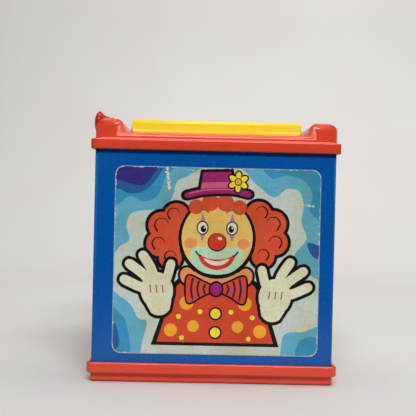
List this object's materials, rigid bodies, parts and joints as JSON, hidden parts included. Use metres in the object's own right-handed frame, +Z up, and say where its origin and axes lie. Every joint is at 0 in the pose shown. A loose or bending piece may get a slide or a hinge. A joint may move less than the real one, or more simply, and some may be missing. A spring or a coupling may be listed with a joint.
{
  "type": "jack in the box",
  "caption": "Square plastic toy box with raised top rails, hinged yellow lid, side crank, picture labels and a sprung clown inside.",
  "frame": {"origin": "centre of the flat underside of the base tray", "axes": "+Z up, the front picture faces -Y, the crank is on the -X side"},
  "size_m": [0.1609, 0.146, 0.1714],
  "materials": {
    "red_plastic": "glossy moulded plastic, lightly scuffed",
    "knob_plastic": "glossy moulded plastic",
    "blue_plastic": "glossy moulded plastic with scuffed edges",
    "yellow_plastic": "glossy moulded plastic",
    "white_plastic": "unpainted moulded plastic",
    "label": "printed paper label, glossy, chipped at its edges",
    "steel": "bright zinc-plated steel",
    "brass": "plain brass",
    "face": "soft moulded vinyl, painted",
    "nose": "glossy paint",
    "hat": "felt",
    "hair": "curled yarn",
    "costume": "printed cotton",
    "ruff": "pleated cotton",
    "glove": "soft moulded vinyl",
    "board": "pressed board"
  },
  "bodies": {
    "box": {"base_tray": "red_plastic", "top_frame": "red_plastic", "body_shell": "blue_plastic", "sticker_front": "label", "sticker_right": "label", "sticker_back": "label", "sticker_left": "label", "crank_bush": "white_plastic", "base_screw_1": "steel", "base_screw_2": "steel", "base_screw_3": "steel", "base_screw_4": "steel", "hinge_pin": "steel", "movement_bracket": "steel", "bracket_screw_1": "steel", "bracket_screw_2": "steel", "tune_comb": "steel", "latch_pin": "steel", "latch_spring": "steel", "disc_screw": "steel", "main_spring": "steel", "comb_screw_1": "brass", "comb_screw_2": "brass", "spring_disc": "board", "costume": "costume"},
    "lid": {"lid": "yellow_plastic", "lid_catch": "steel", "catch_rivet_1": "steel", "catch_rivet_2": "steel"},
    "crank": {"crank_shaft": "steel", "crank_arm": "red_plastic", "crank_nut": "steel", "crank_pinion": "white_plastic", "shaft_clip": "steel", "knob_rivet": "steel"},
    "knob": {"crank_knob": "knob_plastic"},
    "drum": {"drum_axle": "steel", "melody_drum": "brass", "drum_gear": "white_plastic", "trip_cam": "white_plastic"},
    "latch": {"latch": "steel"},
    "puppet": {"puppet_head": "face", "puppet_nose": "nose", "puppet_hat": "hat", "puppet_hair_right": "hair", "puppet_hair_left": "hair", "puppet_hand_right": "glove", "puppet_hand_left": "glove", "puppet_sleeve_right": "costume", "puppet_sleeve_left": "costume", "puppet_collar": "ruff", "neck_plate": "white_plastic", "neck_screw": "steel"}
  },
  "joints": [
    {"name": "lid_open", "type": "hinge", "parent": "box", "child": "lid", "pos_m": [0, 0.062, 0.1494], "axis": [-1, 0, 0], "range_deg": [0, 110]},
    {"name": "clown_rise", "type": "slide", "parent": "box", "child": "puppet", "axis": [0, 0, 1], "range_m": [0, 0.112], "deforming": ["main_spring", "costume"]},
    {"name": "crank_turn", "type": "hinge", "parent": "box", "child": "crank", "pos_m": [-0.07, 0.028, 0.105], "axis": [1, 0, 0], "continuous": true},
    {"name": "knob_spin", "type": "hinge", "parent": "crank", "child": "knob", "pos_m": [-0.083, 0.028, 0.1625], "axis": [1, 0, 0], "continuous": true},
    {"name": "drum_turn", "type": "hinge", "parent": "box", "child": "drum", "pos_m": [-0.05, 0.01, 0.098], "axis": [1, 0, 0], "continuous": true},
    {"name": "latch_swing", "type": "hinge", "parent": "box", "child": "latch", "pos_m": [-0.0412, -0.007, 0.12], "axis": [1, 0, 0], "range_deg": [-14, 0]}
  ],
  "couplings": [
    {"joint": "clown_rise", "follows": "lid_open", "m_per_rad": 0.0573},
    {"joint": "drum_turn", "follows": "crank_turn", "ratio": -0.33333}
  ]
}
